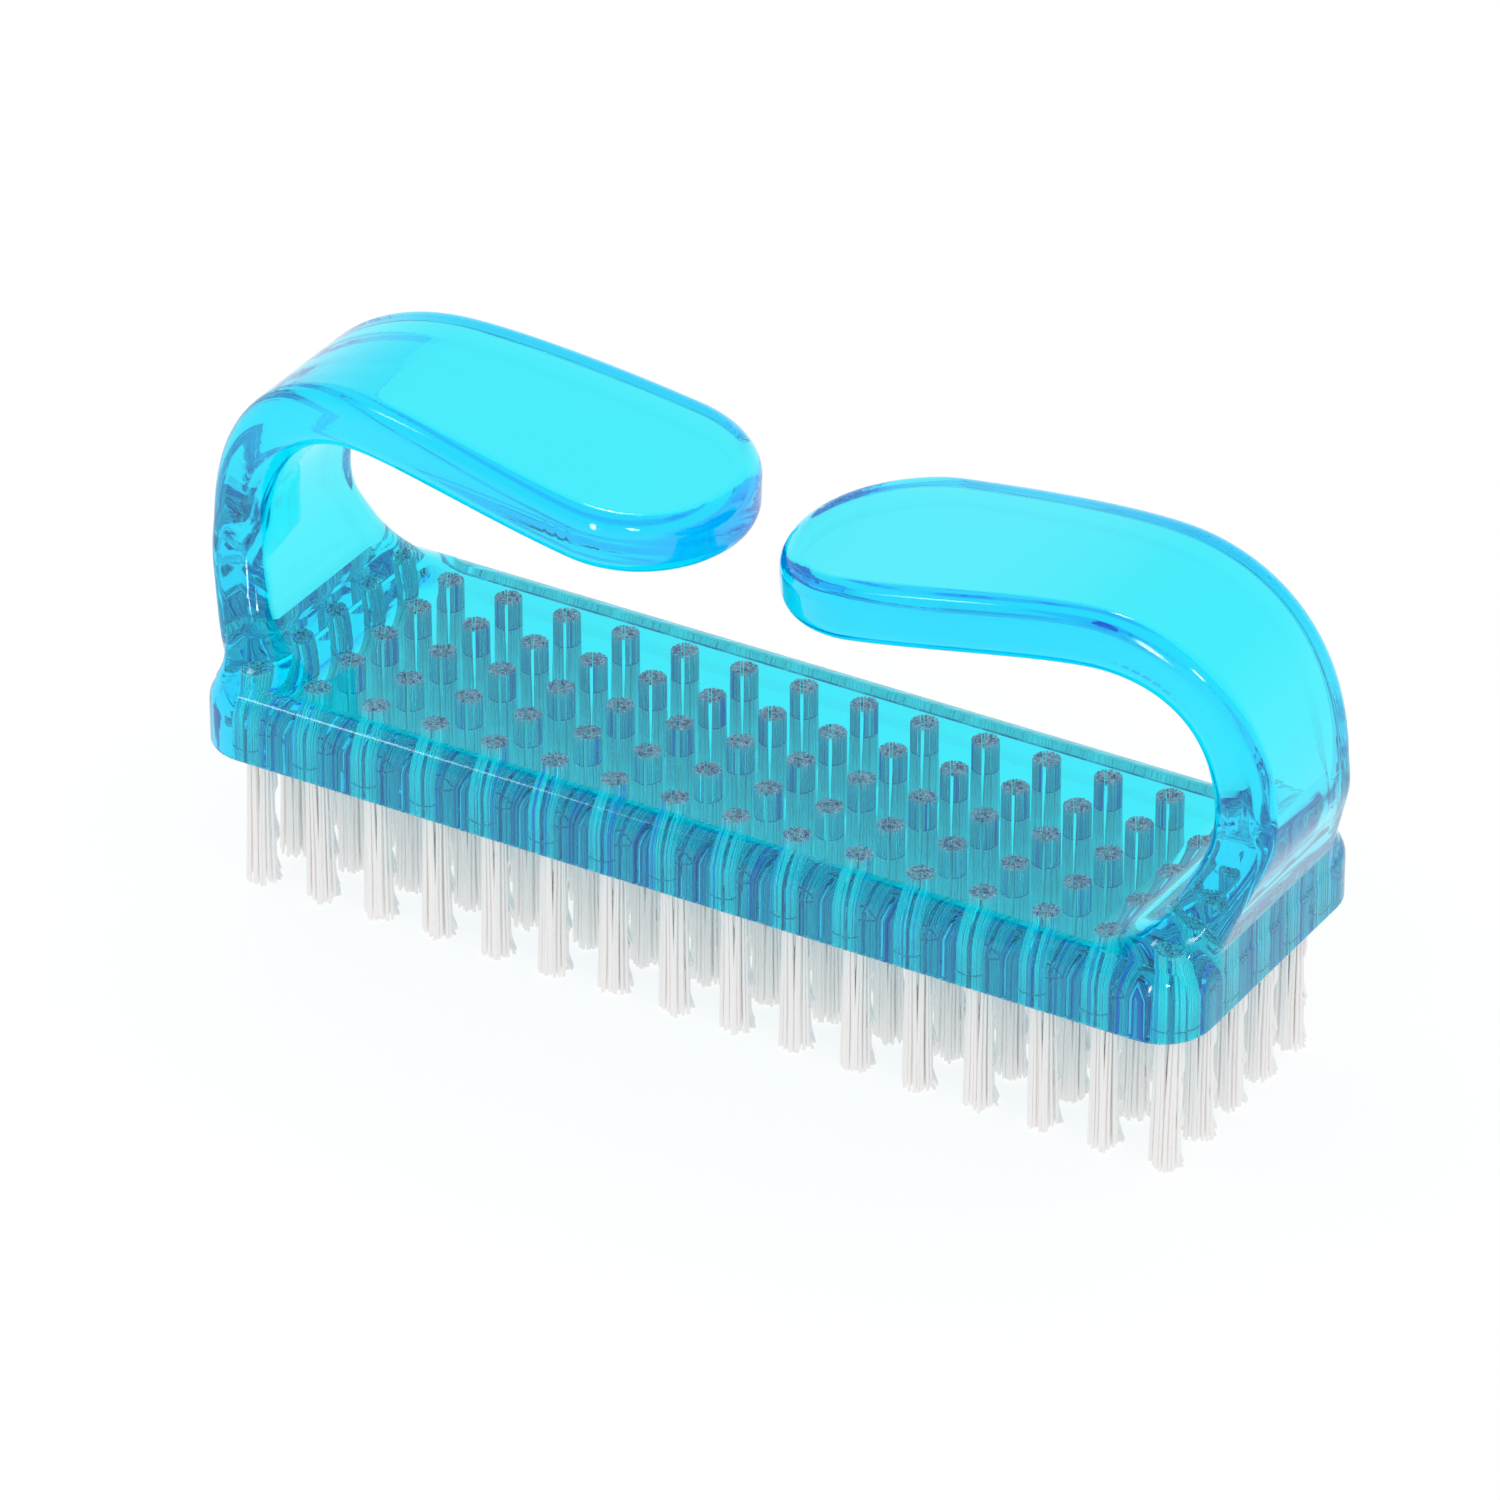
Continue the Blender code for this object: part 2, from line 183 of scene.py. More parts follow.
def arm_half_width(length):
    """Return half the strap's width at a length from the foot, without its round end."""
    share = length / ARM_LENGTH
    if share < WAIST_PLACE_SHARE:
        eased = smooth_step(share / WAIST_PLACE_SHARE)
        return (NECK_WIDTH + (WAIST_WIDTH - NECK_WIDTH) * eased) / 2
    eased = smooth_step((share - WAIST_PLACE_SHARE) / (PADDLE_PLACE_SHARE - WAIST_PLACE_SHARE))
    return (WAIST_WIDTH + (PADDLE_WIDTH - WAIST_WIDTH) * eased) / 2


def room_outward(spot, outward):
    """Return how far it is along a direction from a spot to the side of the base."""
    near, far = 0.0, BASE_LENGTH
    for _ in range(HALVINGS):
        middle = (near + far) / 2
        x, y = spot + outward * middle
        over_x = max(abs(x) - (BASE_LENGTH / 2 - BASE_CORNER_RADIUS), 0.0)
        over_y = max(abs(y) - (BASE_WIDTH / 2 - BASE_CORNER_RADIUS), 0.0)
        if math.hypot(over_x, over_y) <= BASE_CORNER_RADIUS:
            near = middle
        else:
            far = middle
    return near


def fillet_flare(height, room):
    """Return how far the foot's fillet stands out at a height above the base. It runs out on
    the top face or, where there is no room for that, on the rounding of the top edge."""
    both = FOOT_FILLET + TOP_EDGE_RADIUS
    past = both - min(room, both)
    top = math.sqrt(both ** 2 - past ** 2) - TOP_EDGE_RADIUS
    touch = TOP_EDGE_RADIUS * (top + TOP_EDGE_RADIUS) / both - TOP_EDGE_RADIUS
    drop = min(top - min(max(height, touch), top), FOOT_FILLET)
    return FOOT_FILLET - math.sqrt(FOOT_FILLET ** 2 - drop ** 2)


def flared(spot, side, across, half_width):
    """Move a point of the strap's section outwards by the fillet's flare at its height."""
    flat = ARM_THICKNESS / 2 - ARM_EDGE_RADIUS
    straight = half_width - ARM_EDGE_RADIUS
    nearest = Vector((min(max(across, -flat), flat), min(max(side, -straight), straight)))
    outward = (Vector((across, side)) - nearest).normalized()
    flare = fillet_flare(spot.z - BASE_TOP, room_outward(Vector((spot.x, side)), outward))
    return Vector((spot.x + outward.x * flare, side + outward.y * flare, spot.z))


def flat_strap():
    """Make the strap flat: X is the length from the foot, Z the way to its outer face."""
    bm = bmesh.new()
    start = -FOOT_DEPTH
    straight_end = ARM_LENGTH - PADDLE_END_LENGTH
    steps = math.ceil((straight_end - start) / SIDE_STEP)
    edge = []
    for step in range(steps):
        length = start + (straight_end - start) * step / steps
        edge.append((length, arm_half_width(max(length, 0.0))))
    for step in range(END_STEPS):
        turn = math.pi / 2 * step / END_STEPS
        length = straight_end + PADDLE_END_LENGTH * math.sin(turn)
        edge.append((length, arm_half_width(length) * math.cos(turn)))
    outline = edge + [(ARM_LENGTH, 0.0)] + [(length, -y) for length, y in reversed(edge)]
    low = -ARM_THICKNESS / 2
    lower = bm.faces.new([bm.verts.new((length, y, low)) for length, y in outline])
    grown = bmesh.ops.extrude_face_region(bm, geom=[lower], use_keep_orig=True)["geom"]
    raised = [item for item in grown if isinstance(item, bmesh.types.BMVert)]
    bmesh.ops.translate(bm, vec=(0, 0, ARM_THICKNESS), verts=raised)
    rims = [e for e in bm.edges if abs(e.verts[0].co.z - e.verts[1].co.z) < ARM_EDGE_RADIUS]
    round_edges(bm, rims, ARM_EDGE_RADIUS, RIM_SEGMENTS)
    return bm


def bent_arms():
    """Cut the flat strap across, bend it along its centreline and mirror it."""
    bm = flat_strap()
    cuts = [TOP_EDGE_RADIUS * (k / EDGE_CUTS - 1) for k in range(EDGE_CUTS)]
    turns = [math.pi / 2 * k / FILLET_CUTS for k in range(FILLET_CUTS)]
    cuts += [FOOT_FILLET * (1 - math.cos(turn)) for turn in turns]
    cuts += [FOOT_FILLET + CUT_STEP * k for k in range(int((ARM_LENGTH - FOOT_FILLET) / CUT_STEP))]
    for cut in cuts:
        everything = bm.verts[:] + bm.edges[:] + bm.faces[:]
        bmesh.ops.bisect_plane(bm, geom=everything, dist=CUT_TOLERANCE, plane_co=(cut, 0, 0),
                               plane_no=(1, 0, 0))
    for vert in bm.verts:
        length, side, across = vert.co
        centre, normal = arm_place(length)
        spot = Vector((centre.x + normal.x * across, side, centre.y + normal.y * across))
        if length < FOOT_FILLET:
            spot = flared(spot, side, across, arm_half_width(max(length, 0.0)))
        vert.co = spot
    bmesh.ops.mirror(bm, geom=bm.verts[:] + bm.edges[:] + bm.faces[:], axis="X", merge_dist=-1)
    return mesh_object("arms", bm)


# Tuft holes: blind holes in the underside of the base, one for each tuft. They stop just
# under the top face, so that the ends of the bristles show through the cover left there.
TUFT_COLUMNS = 16
TUFT_ROWS = 5
HOLE_DIAMETER = 0.00210
HOLE_COVER = 0.0005
HOLE_SIDES = 48
HOLE_FLUTING = 0.00004
HOLE_SEED = 3
HOLE_OVERRUN = 0.001
WEB_TURN = math.radians(30.6)
WEB_ACROSS = Vector((math.cos(WEB_TURN), math.sin(WEB_TURN)))
WEB_OFFSET = -0.00018
WEB_HALF_WIDTH = 0.00015
WEB_TOLERANCE = 1e-7


def box_middle(node):
    """Return the middle of a CAD node's box."""
    low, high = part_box(node)
    return (low + high) / 2


first_tuft = box_middle("tuft_row1_01")
last_tuft = box_middle(f"tuft_row{TUFT_ROWS}_{TUFT_COLUMNS}")
COLUMN_PITCH = (last_tuft.x - first_tuft.x) / (TUFT_COLUMNS - 1)
ROW_PITCH = (last_tuft.y - first_tuft.y) / (TUFT_ROWS - 1)
HOLE_TOP = BASE_TOP - HOLE_COVER


def tuft_centre(row, column):
    """Return the axis of a tuft as (x, y), rows counted from the front, columns from the left."""
    return first_tuft.x + (column - 1) * COLUMN_PITCH, first_tuft.y + (row - 1) * ROW_PITCH


def half_hole(bm, flutes, side):
    """Make the shape of a hole on one side of its web, around the origin."""
    half = bmesh.new()
    made = bmesh.ops.create_cone(half, cap_ends=True, segments=HOLE_SIDES,
                                 radius1=HOLE_DIAMETER / 2, radius2=HOLE_DIAMETER / 2,
                                 depth=1.0)["verts"]
    for vert in made:
        turn = math.atan2(vert.co.y, vert.co.x) / (2 * math.pi) * HOLE_SIDES
        vert.co.xy *= flutes[round(turn) % HOLE_SIDES]
    wall = WEB_ACROSS * (WEB_OFFSET + side * WEB_HALF_WIDTH)
    cut = bmesh.ops.bisect_plane(half, geom=half.verts[:] + half.edges[:] + half.faces[:],
                                 dist=WEB_TOLERANCE, plane_co=(wall.x, wall.y, 0),
                                 plane_no=(WEB_ACROSS.x * side, WEB_ACROSS.y * side, 0),
                                 clear_inner=True)["geom_cut"]
    rim = [item for item in cut if isinstance(item, bmesh.types.BMEdge)]
    bmesh.ops.edgenet_fill(half, edges=rim)
    mesh = bpy.data.meshes.new("half_hole")
    half.to_mesh(mesh)
    half.free()
    bm.from_mesh(mesh)
    bpy.data.meshes.remove(mesh)


def tuft_holes():
    """Make the shape of all the holes at once. The filaments leave fine flutes in their walls,
    and plastic has run into the slit that each bundle has, as a thin web."""
    bm = bmesh.new()
    draw = random.Random(HOLE_SEED)
    bottom = BASE_UNDERSIDE - HOLE_OVERRUN
    for row in range(1, TUFT_ROWS + 1):
        for column in range(1, TUFT_COLUMNS + 1):
            x, y = tuft_centre(row, column)
            flutes = [1 - draw.random() * HOLE_FLUTING / (HOLE_DIAMETER / 2)
                      for _ in range(HOLE_SIDES)]
            before = len(bm.verts)
            for side in (-1, 1):
                half_hole(bm, flutes, side)
            for vert in bm.verts[:][before:]:
                vert.co = (x + vert.co.x, y + vert.co.y,
                           vert.co.z * (HOLE_TOP - bottom) + (HOLE_TOP + bottom) / 2)
    return mesh_object("tuft_holes", bm)


# Clear blue plastic: a tinted clear resin, moulded and polished. The tint lies in its depth,
# so thin walls are bright cyan and long ways through it, as along the rims, are deep blue.
TINT_DEPTH = 520.0
TINT_COLOUR = (0.01, 0.980, 0.9999, 1.0)
PLASTIC_SURFACE = (0.86, 0.925, 1.0, 1.0)
PLASTIC_IOR = 1.49
POLISH_RANGE = (0.0, 0.03)
POLISH_SCALE = 260.0
POLISH_DETAIL = 3.0
RIPPLE_SCALE = 90.0
RIPPLE_DETAIL = 1.0
RIPPLE_HEIGHT = 0.000004
SHARP_ANGLE = math.radians(32)


def new_material(name):
    """Return a new node material with its node tree and its Principled shader."""
    material = bpy.data.materials.new(name)
    material.use_nodes = True
    tree = material.node_tree
    return material, tree, tree.nodes["Principled BSDF"]


def noise_node(tree, scale, detail):
    """Return a noise pattern on the piece's own coordinates."""
    place = tree.nodes.new("ShaderNodeTexCoord")
    noise = tree.nodes.new("ShaderNodeTexNoise")
    noise.inputs["Scale"].default_value = scale
    noise.inputs["Detail"].default_value = detail
    tree.links.new(place.outputs["Object"], noise.inputs["Vector"])
    return noise


def clear_plastic():
    """Make the clear blue plastic."""
    material, tree, shader = new_material("clear_blue_plastic")
    shader.inputs["Base Color"].default_value = PLASTIC_SURFACE
    shader.inputs["Transmission Weight"].default_value = 1.0
    shader.inputs["IOR"].default_value = PLASTIC_IOR
    polish = noise_node(tree, POLISH_SCALE, POLISH_DETAIL)
    spread = tree.nodes.new("ShaderNodeMapRange")
    spread.inputs["To Min"].default_value = POLISH_RANGE[0]
    spread.inputs["To Max"].default_value = POLISH_RANGE[1]
    tree.links.new(polish.outputs["Fac"], spread.inputs["Value"])
    tree.links.new(spread.outputs["Result"], shader.inputs["Roughness"])
    ripple = noise_node(tree, RIPPLE_SCALE, RIPPLE_DETAIL)
    bump = tree.nodes.new("ShaderNodeBump")
    bump.inputs["Strength"].default_value = 1.0
    bump.inputs["Distance"].default_value = RIPPLE_HEIGHT
    tree.links.new(ripple.outputs["Fac"], bump.inputs["Height"])
    tree.links.new(bump.outputs["Normal"], shader.inputs["Normal"])
    depth = tree.nodes.new("ShaderNodeVolumeAbsorption")
    depth.inputs["Color"].default_value = TINT_COLOUR
    depth.inputs["Density"].default_value = TINT_DEPTH
    tree.links.new(depth.outputs["Volume"], tree.nodes["Material Output"].inputs["Volume"])
    return material


def moulded_body():
    """Join the arms to the base, sink the holes and give the moulding its plastic."""
    body = base_block()
    shapes = ((bent_arms(), "UNION"), (tuft_holes(), "DIFFERENCE"))
    for shape, operation in shapes:
        joint = body.modifiers.new(shape.name, "BOOLEAN")
        joint.object = shape
        joint.operation = operation
        joint.solver = "MANIFOLD"
    evaluated = body.evaluated_get(bpy.context.evaluated_depsgraph_get())
    finished = bpy.data.meshes.new_from_object(evaluated)
    body.modifiers.clear()
    body.data = finished
    for shape, _ in shapes:
        bpy.data.objects.remove(shape, do_unlink=True)
    body.data.shade_smooth()
    body.data.set_sharp_from_angle(angle=SHARP_ANGLE)
    weighted = body.modifiers.new("even shading", "WEIGHTED_NORMAL")
    weighted.keep_sharp = True
    body.data.materials.clear()
    body.data.materials.append(clear_plastic())
    return body


clear_body = moulded_body()
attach(clear_body, "root")
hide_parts("brush_body")

# Tufts: round bundles of fine white nylon filaments. Each bundle stands in its hole in two
# halves. Below the base the halves close up, and the filaments spread and end unevenly.
RING_FILAMENTS = 25
INNER_FILAMENTS = 54
FILAMENT_RADIUS = 0.000102
FILAMENT_RADIUS_SPREAD = 0.00001
FILAMENT_SIDES = 6
RING_RADIUS = 0.00105
INNER_RADIUS = 0.00084
RING_WANDER = 0.28
SLIT_CLOSING = 0.00026
SLIT_CLOSES = (0.0, 0.70)
FLUFF = 1.35
STUBS = 10
STUB_DEPTH = 0.00030
TIP_SPREAD_SHARE = 1.26
ROOT_SINK = 0.00006
ROOT_UNEVEN = 0.00008
TIP_UNEVEN = 0.0008
FILAMENT_WANDER = 0.00006
TUFT_LEAN = 0.00012
FREE_LEVEL_SHARES = (0.35, 0.70, 1.0)
GOLDEN_TURN = math.pi * (3 - math.sqrt(5))
SHADE_RANGE = (0.0, 1.0)
RING_SHADE_RANGE = (0.12, 1.0)
TUFT_SEED = 7

BRISTLE_DARK = (0.985, 0.97, 0.965, 1.0)
BRISTLE_LIGHT = (1.0, 0.995, 0.99, 1.0)
STAINED_DARK = (0.03, 0.40, 0.92, 1.0)
STAINED_LIGHT = (0.60, 0.97, 1.0, 1.0)
STAINED_STEPS = (0.12, 0.30)
# Painted highlight: a whitish streak laid on below each fused end, longer on lighter filaments.
HIGHLIGHT_COLOUR = (1.0, 0.97, 1.0, 1.0)
HIGHLIGHT_LENGTH = 0.0020
HIGHLIGHT_FADE = 0.0006
# Painted shade: a thin dark band on each filament where it leaves its hole.
MOUTH_SHADE_COLOUR = (0.04, 0.35, 0.60, 1.0)
MOUTH_SHADE_BAND = 0.00005
FUSED_DARK = (0.10, 0.07, 0.16, 1.0)
FUSED_LIGHT = (0.92, 0.82, 0.95, 1.0)
FACING_UP = 0.7
BRISTLE_ROUGHNESS = 0.42
BRISTLE_GRAIN_SCALE = 900.0
BRISTLE_GRAIN_DETAIL = 2.0
BRISTLE_GRAIN_SHARE = 0.25


def two_tone(tree, factor, dark, light, steps=(0.0, 1.0)):
    """Return a colour between two tones."""
    tones = tree.nodes.new("ShaderNodeValToRGB")
    for stop, colour, step in zip(tones.color_ramp.elements, (dark, light), steps):
        stop.color = colour
        stop.position = step
    tree.links.new(factor, tones.inputs["Fac"])
    return tones.outputs["Color"]


def above(tree, vector, height):
    """Return 1 where a vector's Z is above a height, and 0 elsewhere."""
    axes = tree.nodes.new("ShaderNodeSeparateXYZ")
    tree.links.new(vector, axes.inputs[0])
    test = tree.nodes.new("ShaderNodeMath")
    test.operation = "GREATER_THAN"
    test.inputs[1].default_value = height
    tree.links.new(axes.outputs["Z"], test.inputs[0])
    return test.outputs[0]


def either(tree, factor, plain, other):
    """Return one colour or the other, chosen by a factor of 0 or 1."""
    mix = tree.nodes.new("ShaderNodeMix")
    mix.data_type = "RGBA"
    tree.links.new(factor, mix.inputs["Factor"])
    tree.links.new(plain, mix.inputs["A"])
    tree.links.new(other, mix.inputs["B"])
    return mix.outputs["Result"]


def painted_highlight_share(tree, place, shade):
    """Return where a filament gets its painted highlight: 1 near the fused end, fading to 0 lower
    down the lighter the filament is.
    """
    height = tree.nodes.new("ShaderNodeSeparateXYZ")
    tree.links.new(place, height.inputs[0])
    lowered = tree.nodes.new("ShaderNodeMath")
    lowered.operation = "MULTIPLY_ADD"
    lowered.inputs[1].default_value = HIGHLIGHT_LENGTH
    tree.links.new(shade, lowered.inputs[0])
    tree.links.new(height.outputs["Z"], lowered.inputs[2])
    fade = tree.nodes.new("ShaderNodeMapRange")
    fade.inputs["From Min"].default_value = HOLE_TOP
    fade.inputs["From Max"].default_value = HOLE_TOP + HIGHLIGHT_FADE
    tree.links.new(lowered.outputs[0], fade.inputs["Value"])
    return fade.outputs["Result"]


def bristle_material():
    """Make the white nylon. Each filament has its own shade and a faint grain. Inside the base
    the plastic wets and stains it and its fused ends are mottled, with whitish painted highlights
    below them, and a thin band of painted shade darkens it where it leaves its hole."""
    material, tree, shader = new_material("white_bristle")
    shade = tree.nodes.new("ShaderNodeAttribute")
    shade.attribute_name = "shade"
    grain = noise_node(tree, BRISTLE_GRAIN_SCALE, BRISTLE_GRAIN_DETAIL)
    blend = tree.nodes.new("ShaderNodeMix")
    blend.data_type = "FLOAT"
    blend.inputs["Factor"].default_value = BRISTLE_GRAIN_SHARE
    tree.links.new(shade.outputs["Fac"], blend.inputs["A"])
    tree.links.new(grain.outputs["Fac"], blend.inputs["B"])
    free = two_tone(tree, blend.outputs["Result"], BRISTLE_DARK, BRISTLE_LIGHT)
    place = tree.nodes.new("ShaderNodeTexCoord").outputs["Object"]
    wetted = two_tone(tree, shade.outputs["Fac"], STAINED_DARK, STAINED_LIGHT, STAINED_STEPS)
    # Painted highlight: whitish streaks below the fused ends, mixed into the stained nylon.
    highlight = tree.nodes.new("ShaderNodeRGB").outputs[0]
    highlight.default_value = HIGHLIGHT_COLOUR
    stained_and_highlit = either(tree, painted_highlight_share(tree, place, shade.outputs["Fac"]), wetted, highlight)
    fused = two_tone(tree, shade.outputs["Fac"], FUSED_DARK, FUSED_LIGHT)
    facing = tree.nodes.new("ShaderNodeNewGeometry").outputs["True Normal"]
    inner = either(tree, above(tree, facing, FACING_UP), stained_and_highlit, fused)
    # Painted shade: a thin dark band around the underside, at the mouth of each hole.
    mouth_shade = tree.nodes.new("ShaderNodeRGB").outputs[0]
    mouth_shade.default_value = MOUTH_SHADE_COLOUR
    lower = either(tree, above(tree, place, BASE_UNDERSIDE - MOUTH_SHADE_BAND), free, mouth_shade)
    colour = either(tree, above(tree, place, BASE_UNDERSIDE + MOUTH_SHADE_BAND), lower, inner)
    tree.links.new(colour, shader.inputs["Base Color"])
    shader.inputs["Roughness"].default_value = BRISTLE_ROUGHNESS
    return material


def tuft_pattern(draw):
    """Return where the filaments of a tuft stand: a ring pressed into the wall of the hole
    and a filling inside it, with a slit between the two halves of the bundle."""
    turns = [2 * math.pi * (k + draw.uniform(-1, 1) * RING_WANDER) / RING_FILAMENTS
             for k in range(RING_FILAMENTS)]
    spots = [Vector((math.cos(turn), math.sin(turn))) * RING_RADIUS for turn in turns]
    for number in range(INNER_FILAMENTS):
        out = INNER_RADIUS * math.sqrt((number + 0.5) / INNER_FILAMENTS)
        turn = number * GOLDEN_TURN
        spots.append(Vector((math.cos(turn), math.sin(turn))) * out)
    aside = WEB_HALF_WIDTH + FILAMENT_RADIUS
    for spot in spots:
        off = spot.dot(WEB_ACROSS) - WEB_OFFSET
        spot += WEB_ACROSS * math.copysign(max(aside - abs(off), 0.0), off)
    return spots


def swell_at(level):
    """Return how much wider the filaments are at a level than at the level before it."""
    before = max((mark for mark in FREE_LEVEL_SHARES if mark < level), default=0.0)
    return (1 + (FLUFF - 1) * level) / (1 + (FLUFF - 1) * before)


def add_prism(bm, spot, top, depth, radius, shade, value):
    """Stand a short upright piece of filament in the hole and give it its shade."""
    made = bmesh.ops.create_cone(bm, cap_ends=True, segments=FILAMENT_SIDES, radius1=radius,
                                 radius2=radius, depth=depth)["verts"]
    bmesh.ops.translate(bm, vec=(spot.x, spot.y, top - depth / 2), verts=made)
    for vert in made:
        vert[shade] = value
    return made


def add_tuft(bm, shade, x, y, draw):
    """Grow one tuft: prisms in the hole, whose lower ends are drawn out in steps, and short
    stubs over the slit between the two halves."""
    lean = Vector((draw.uniform(-1, 1), draw.uniform(-1, 1))) * TUFT_LEAN
    ends = []
    for number, way in enumerate(tuft_pattern(draw)):
        radius = FILAMENT_RADIUS + draw.uniform(-1, 1) * FILAMENT_RADIUS_SPREAD
        top = HOLE_TOP + ROOT_SINK + draw.random() * ROOT_UNEVEN
        value = draw.uniform(*(RING_SHADE_RANGE if number < RING_FILAMENTS else SHADE_RANGE))
        spot = Vector((x, y)) + way
        made = add_prism(bm, spot, top, top - BASE_UNDERSIDE, radius, shade, value)
        around = {face for vert in made for face in vert.link_faces}
        lower = min(around, key=lambda face: face.calc_center_median().z)
        wander = Vector((draw.uniform(-1, 1), draw.uniform(-1, 1))) * FILAMENT_WANDER
        shift = way * (TIP_SPREAD_SHARE - 1) + wander + lean
        off = way.dot(WEB_ACROSS) - WEB_OFFSET
        inward = WEB_ACROSS * math.copysign(SLIT_CLOSING, -off) * (1 - abs(off) / RING_RADIUS)
        ends.append((lower, spot, shift, inward, TIP_UNEVEN * draw.random() ** 2))
    for number in range(STUBS):
        along = RING_RADIUS * (2 * number / (STUBS - 1) - 1)
        spot = Vector((x, y)) + WEB_ACROSS * WEB_OFFSET + WEB_ACROSS.orthogonal() * along
        top = HOLE_TOP + ROOT_SINK + draw.random() * ROOT_UNEVEN
        value = draw.uniform(*SHADE_RANGE)
        add_prism(bm, spot, top, STUB_DEPTH, FILAMENT_RADIUS, shade, value)
    faces = [lower for lower, *_ in ends]
    for level in FREE_LEVEL_SHARES:
        faces = bmesh.ops.extrude_discrete_faces(bm, faces=faces)["faces"]
        closed = smooth_step((level - SLIT_CLOSES[0]) / (SLIT_CLOSES[1] - SLIT_CLOSES[0]))
        swell = swell_at(level)
        for face, (_, spot, shift, inward, end) in zip(faces, ends):
            middle = face.calc_center_median().xy
            goal = spot + shift * level + inward * closed
            height = BASE_UNDERSIDE + (end - BASE_UNDERSIDE) * level
            for vert in face.verts:
                place = goal + (vert.co.xy - middle) * swell
                vert.co = (place.x, place.y, height)


def tufts_of(node):
    """Return the (row, column) of each tuft that a CAD node holds, read from its name."""
    words = node.split("_")
    row = int(words[1].removeprefix("row"))
    return [(row, int(column)) for column in words[2:]]


bristle = bristle_material()
tuft_nodes = sorted(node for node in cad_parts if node.startswith("tuft"))
draw = random.Random(TUFT_SEED)
for node in tuft_nodes:
    bm = bmesh.new()
    shade = bm.verts.layers.float.new("shade")
    for row, column in tufts_of(node):
        add_tuft(bm, shade, *tuft_centre(row, column), draw)
    bundle = mesh_object("bristles_" + node.partition("_")[2], bm)
    bundle.data.materials.append(bristle)
    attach(bundle, "root")
    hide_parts(node)

# Studio: a plain white floor and even white light from all round, with lamps that only show
# as highlights in the polished plastic. None of it is part of the brush.
FLOOR_SIZE = 6.0
FLOOR_COLOUR = (0.30, 0.30, 0.30, 1.0)
FLOOR_GLOW = 0.76
PLAIN_LIGHT = 0.87
CEILING_SHADE = 0.60
CEILING_HEIGHTS = (0.10, 0.50)
LAMP_DISTANCE = 1.0
LAMP_MIDDLE = (0.5, 0.5, 0.0)
LAMP_EDGE = 0.50
LAMP_CORE = 0.05
LAMPS = (
    ("front", 5, 20, 0.16, 0.66, 7.0),
    ("left", -50, 50, 0.16, 0.20, 0.8),
    ("right", 42, 36, 0.20, 0.20, 4.6),
    ("back", -159, 62, 0.18, 0.18, 2.2),
)


def seen_by(tree, *kinds):
    """Return a value of 1 for rays of these kinds, and 0 for the rest."""
    path = tree.nodes.new("ShaderNodeLightPath")
    total = path.outputs[kinds[0]]
    for kind in kinds[1:]:
        more = tree.nodes.new("ShaderNodeMath")
        more.operation = "MAXIMUM"
        tree.links.new(total, more.inputs[0])
        tree.links.new(path.outputs[kind], more.inputs[1])
        total = more.outputs[0]
    return total


def plain_floor():
    """Make the floor under the tips: pale with a soft shadow, plain white for other rays."""
    bm = bmesh.new()
    bmesh.ops.create_grid(bm, x_segments=1, y_segments=1, size=FLOOR_SIZE / 2)
    floor = mesh_object("floor", bm)
    material, tree, shader = new_material("white_floor")
    tree.nodes.remove(shader)
    matt = tree.nodes.new("ShaderNodeBsdfDiffuse")
    matt.inputs["Color"].default_value = FLOOR_COLOUR
    glow = tree.nodes.new("ShaderNodeEmission")
    glow.inputs["Strength"].default_value = FLOOR_GLOW
    lit = tree.nodes.new("ShaderNodeAddShader")
    tree.links.new(matt.outputs[0], lit.inputs[0])
    tree.links.new(glow.outputs[0], lit.inputs[1])
    plain = tree.nodes.new("ShaderNodeEmission")
    level = tree.nodes.new("ShaderNodeMapRange")
    level.inputs["To Min"].default_value = PLAIN_LIGHT
    level.inputs["To Max"].default_value = 1.0
    tree.links.new(seen_by(tree, "Is Glossy Ray", "Is Transmission Ray"), level.inputs["Value"])
    tree.links.new(level.outputs["Result"], plain.inputs["Strength"])
    choice = tree.nodes.new("ShaderNodeMixShader")
    tree.links.new(seen_by(tree, "Is Camera Ray"), choice.inputs[0])
    tree.links.new(plain.outputs[0], choice.inputs[1])
    tree.links.new(lit.outputs[0], choice.inputs[2])
    tree.links.new(choice.outputs[0], tree.nodes["Material Output"].inputs["Surface"])
    floor.data.materials.append(material)


def white_world():
    """Make the white surroundings: even light, mirrored white low down and dimmer overhead."""
    world = bpy.data.worlds.new("white_room")
    bpy.context.scene.world = world
    world.use_nodes = True
    tree = world.node_tree
    way = tree.nodes.new("ShaderNodeTexCoord")
    axes = tree.nodes.new("ShaderNodeSeparateXYZ")
    tree.links.new(way.outputs["Generated"], axes.inputs[0])
    ceiling = tree.nodes.new("ShaderNodeMapRange")
    ceiling.inputs["From Min"].default_value = CEILING_HEIGHTS[0]
    ceiling.inputs["From Max"].default_value = CEILING_HEIGHTS[1]
    ceiling.inputs["To Min"].default_value = 1.0
    ceiling.inputs["To Max"].default_value = CEILING_SHADE
    tree.links.new(axes.outputs["Z"], ceiling.inputs["Value"])
    mirrored = tree.nodes.new("ShaderNodeMix")
    mirrored.inputs["A"].default_value = PLAIN_LIGHT
    tree.links.new(seen_by(tree, "Is Glossy Ray"), mirrored.inputs["Factor"])
    tree.links.new(ceiling.outputs["Result"], mirrored.inputs["B"])
    seen = tree.nodes.new("ShaderNodeMix")
    seen.inputs["B"].default_value = 1.0
    tree.links.new(seen_by(tree, "Is Camera Ray", "Is Transmission Ray"), seen.inputs["Factor"])
    tree.links.new(mirrored.outputs["Result"], seen.inputs["A"])
    tree.links.new(seen.outputs["Result"], tree.nodes["Background"].inputs["Strength"])
    tree.nodes["Background"].inputs["Color"].default_value = (1, 1, 1, 1)


